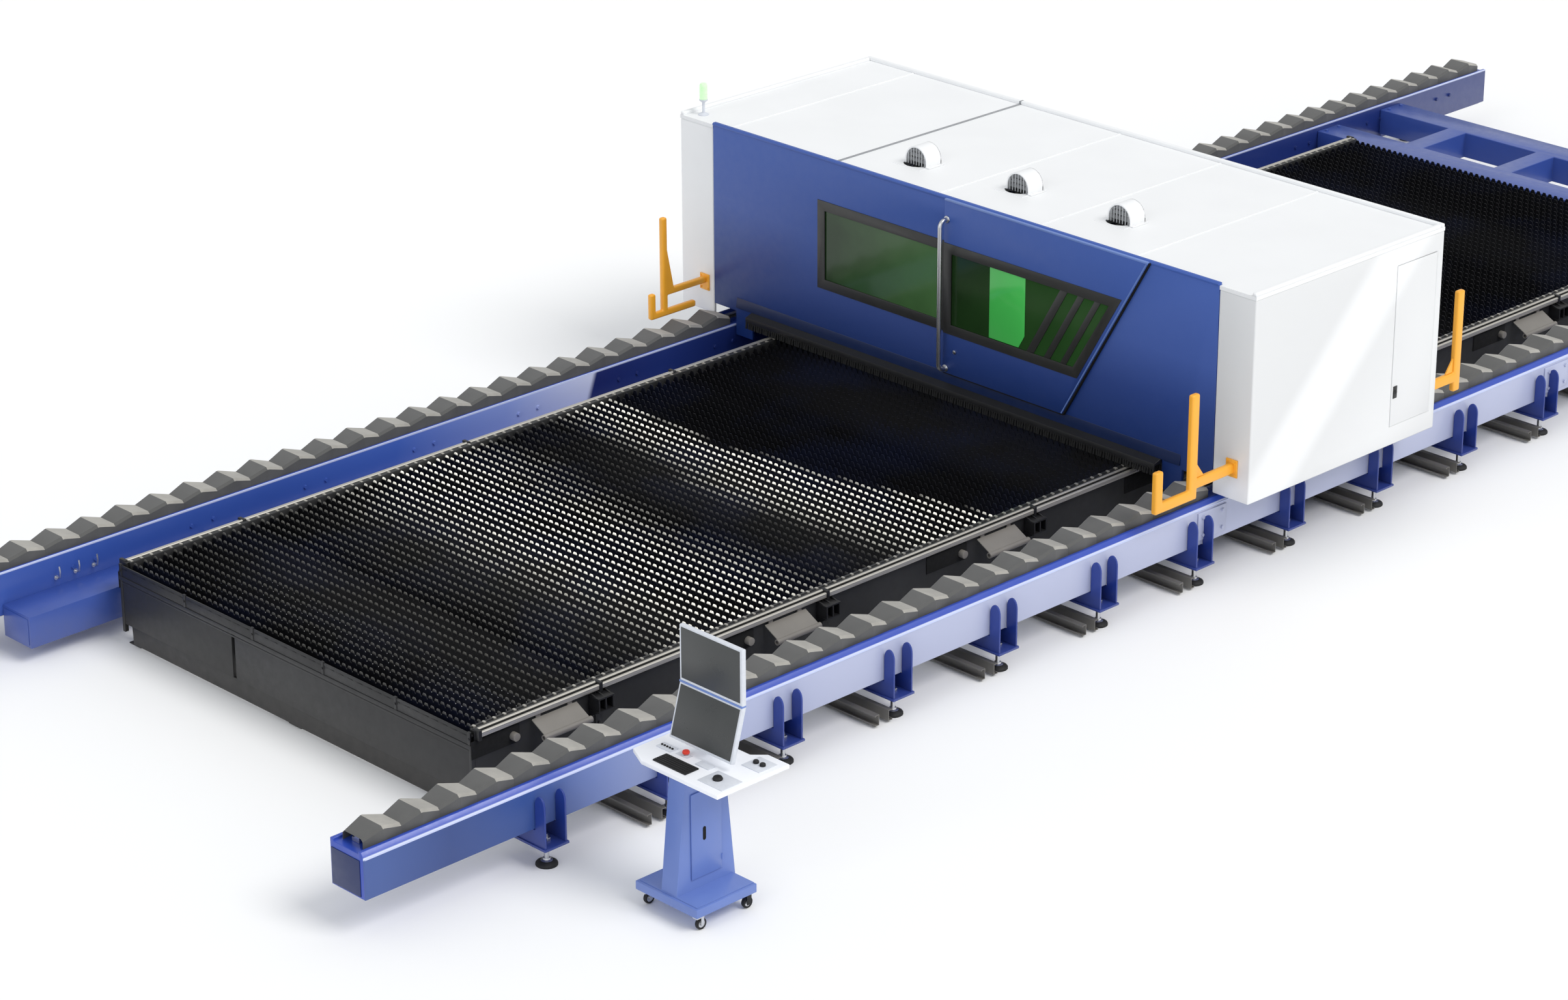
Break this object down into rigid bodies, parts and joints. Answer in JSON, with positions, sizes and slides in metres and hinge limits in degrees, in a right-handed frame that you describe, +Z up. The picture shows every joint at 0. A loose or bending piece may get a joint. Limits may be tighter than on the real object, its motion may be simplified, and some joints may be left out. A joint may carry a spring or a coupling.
{
  "type": "gantry flatbed cutting machine",
  "caption": "Ground-rail flatbed cutting machine: a covered gantry runs on two rail beams over a slat table, with fume duct, slag drawers and a control console.",
  "frame": {"origin": "on the floor, at the middle of the bottom face of the table's centre foot", "axes": "+X across the table towards the console's side, +Y along the rails away from the loading end, +Z up"},
  "size_m": [7.3625, 18.26, 2.5503],
  "materials": {
    "blue_paint": "satin",
    "white_cover": "satin",
    "black_steel": "matt",
    "slat_steel": "mill finish, heat darkened",
    "dark_grey_steel": "satin",
    "bellows_fabric": "coated",
    "laser_window": "polished",
    "yellow_paint": "satin",
    "bright_steel": "satin",
    "black_rubber": "matt",
    "tray_white": "satin",
    "screen_grey": "semi gloss",
    "red_button": "gloss",
    "beacon_lens": "gloss"
  },
  "bodies": {
    "bed": {"left_rail_beam": "blue_paint", "right_rail_beam": "blue_paint", "left_foot_row": "blue_paint", "right_foot_row": "blue_paint", "left_guide_rail": "bright_steel", "right_guide_rail": "bright_steel", "table_frame": "dark_grey_steel", "slat_grid": "slat_steel", "table_nose_panel": "dark_grey_steel", "exhaust_duct": "blue_paint", "rear_frame": "blue_paint", "drawer_channels": "black_steel", "bellows_front_left": "bellows_fabric", "bellows_front_right": "bellows_fabric", "bellows_rear_left": "bellows_fabric", "bellows_rear_right": "bellows_fabric"},
    "gantry": {"crossbeam": "dark_grey_steel", "left_end_truck": "dark_grey_steel", "right_end_truck": "dark_grey_steel", "left_end_cover": "white_cover", "right_end_cover": "white_cover", "front_panel": "blue_paint", "fixed_window": "laser_window", "roof_cover": "white_cover", "rear_panel": "white_cover", "front_skirt": "black_steel", "rear_skirt": "black_steel", "beacon": "beacon_lens", "bumper_front_left": "yellow_paint", "bumper_front_right": "yellow_paint", "bumper_rear_left": "yellow_paint", "bumper_rear_right": "yellow_paint"},
    "slag_drawer_1": {"slag_drawer_1": "black_steel"},
    "slag_drawer_2": {"slag_drawer_2": "black_steel"},
    "slag_drawer_3": {"slag_drawer_3": "black_steel"},
    "slag_drawer_4": {"slag_drawer_4": "black_steel"},
    "slag_drawer_5": {"slag_drawer_5": "black_steel"},
    "slag_drawer_6": {"slag_drawer_6": "black_steel"},
    "left_pinion": {"left_drive_pinion": "bright_steel"},
    "right_pinion": {"right_drive_pinion": "bright_steel"},
    "fan_1": {"fan_impeller_1": "black_steel"},
    "fan_2": {"fan_impeller_2": "black_steel"},
    "fan_3": {"fan_impeller_3": "black_steel"},
    "inspection_door": {"sliding_door": "blue_paint", "door_window": "laser_window", "door_handle": "bright_steel"},
    "service_door": {"service_door": "white_cover"},
    "carriage": {"x_carriage": "white_cover"},
    "head": {"cutting_head": "bright_steel"},
    "console": {"console_cabinet": "blue_paint", "console_tray": "tray_white"},
    "console_door": {"console_door": "blue_paint"},
    "screens": {"monitor_stack": "screen_grey"},
    "estop": {"estop_button": "red_button"},
    "caster_1": {"caster_fork_1": "bright_steel"},
    "caster_2": {"caster_fork_2": "bright_steel"},
    "wheel_1": {"caster_wheel_1": "black_rubber"},
    "wheel_2": {"caster_wheel_2": "black_rubber"},
    "wheel_3": {"caster_wheel_3": "black_rubber"},
    "wheel_4": {"caster_wheel_4": "black_rubber"}
  },
  "joints": [
    {"name": "gantry_travel", "type": "slide", "parent": "bed", "child": "gantry", "axis": [0, 1, 0], "range_m": [-7.1, 5.9], "deforming": ["bellows_front_left", "bellows_front_right", "bellows_rear_left", "bellows_rear_right"]},
    {"name": "left_pinion_spin", "type": "hinge", "parent": "gantry", "child": "left_pinion", "pos_m": [-2.5022, 0.0965, 0.6025], "axis": [0, 0, 1], "continuous": true},
    {"name": "right_pinion_spin", "type": "hinge", "parent": "gantry", "child": "right_pinion", "pos_m": [2.5022, 0.0965, 0.6025], "axis": [0, 0, 1], "continuous": true},
    {"name": "door_slide", "type": "slide", "parent": "gantry", "child": "inspection_door", "axis": [1, 0, 0], "range_m": [0, 0.65]},
    {"name": "service_hinge", "type": "hinge", "parent": "gantry", "child": "service_door", "pos_m": [3.0645, 1.1285, 0.8], "axis": [0, 0, 1], "range_deg": [0, 105]},
    {"name": "x_travel", "type": "slide", "parent": "gantry", "child": "carriage", "axis": [1, 0, 0], "range_m": [-1.7, 1.7]},
    {"name": "head_lift", "type": "slide", "parent": "carriage", "child": "head", "axis": [0, 0, 1], "range_m": [-0.15, 0]},
    {"name": "fan_spin_1", "type": "hinge", "parent": "gantry", "child": "fan_1", "pos_m": [-0.81, -0.53, 2.252], "axis": [0, 0, 1], "continuous": true},
    {"name": "fan_spin_2", "type": "hinge", "parent": "gantry", "child": "fan_2", "pos_m": [0.2, -0.44, 2.252], "axis": [0, 0, 1], "continuous": true},
    {"name": "fan_spin_3", "type": "hinge", "parent": "gantry", "child": "fan_3", "pos_m": [1.25, -0.44, 2.252], "axis": [0, 0, 1], "continuous": true},
    {"name": "drawer_slide_1", "type": "slide", "parent": "bed", "child": "slag_drawer_1", "axis": [1, 0, 0], "range_m": [0, 1.1]},
    {"name": "drawer_slide_2", "type": "slide", "parent": "bed", "child": "slag_drawer_2", "axis": [1, 0, 0], "range_m": [0, 1.1]},
    {"name": "drawer_slide_3", "type": "slide", "parent": "bed", "child": "slag_drawer_3", "axis": [1, 0, 0], "range_m": [0, 1.1]},
    {"name": "drawer_slide_4", "type": "slide", "parent": "bed", "child": "slag_drawer_4", "axis": [1, 0, 0], "range_m": [0, 1.1]},
    {"name": "drawer_slide_5", "type": "slide", "parent": "bed", "child": "slag_drawer_5", "axis": [1, 0, 0], "range_m": [0, 1.1]},
    {"name": "drawer_slide_6", "type": "slide", "parent": "bed", "child": "slag_drawer_6", "axis": [1, 0, 0], "range_m": [0, 1.1]},
    {"name": "console_roll", "type": "slide", "parent": "bed", "child": "console", "axis": [0, 1, 0], "range_m": [-1, 2]},
    {"name": "console_door_hinge", "type": "hinge", "parent": "console", "child": "console_door", "pos_m": [3.9395, -7.186, 0.25], "axis": [0, 0, 1], "range_deg": [0, 110]},
    {"name": "monitor_tilt", "type": "hinge", "parent": "console", "child": "screens", "pos_m": [3.855, -7.17, 1.11], "axis": [1, 0, 0], "range_deg": [-12, 8]},
    {"name": "estop_press", "type": "slide", "parent": "console", "child": "estop", "axis": [0, 0, 1], "range_m": [-0.006, 0], "stiffness_N_per_m": 600},
    {"name": "caster_swivel_1", "type": "hinge", "parent": "console", "child": "caster_1", "pos_m": [3.615, -7.551, 0.11], "axis": [0, 0, 1], "continuous": true},
    {"name": "caster_swivel_2", "type": "hinge", "parent": "console", "child": "caster_2", "pos_m": [4.095, -7.551, 0.11], "axis": [0, 0, 1], "continuous": true},
    {"name": "wheel_spin_1", "type": "hinge", "parent": "caster_1", "child": "wheel_1", "pos_m": [3.615, -7.523, 0.04], "axis": [1, 0, 0], "continuous": true},
    {"name": "wheel_spin_2", "type": "hinge", "parent": "caster_2", "child": "wheel_2", "pos_m": [4.095, -7.523, 0.04], "axis": [1, 0, 0], "continuous": true},
    {"name": "wheel_spin_3", "type": "hinge", "parent": "console", "child": "wheel_3", "pos_m": [3.615, -7.121, 0.04], "axis": [1, 0, 0], "continuous": true},
    {"name": "wheel_spin_4", "type": "hinge", "parent": "console", "child": "wheel_4", "pos_m": [4.095, -7.121, 0.04], "axis": [1, 0, 0], "continuous": true}
  ],
  "couplings": [
    {"joint": "left_pinion_spin", "follows": "gantry_travel", "rad_per_m": 30.488},
    {"joint": "right_pinion_spin", "follows": "gantry_travel", "rad_per_m": -30.488}
  ]
}
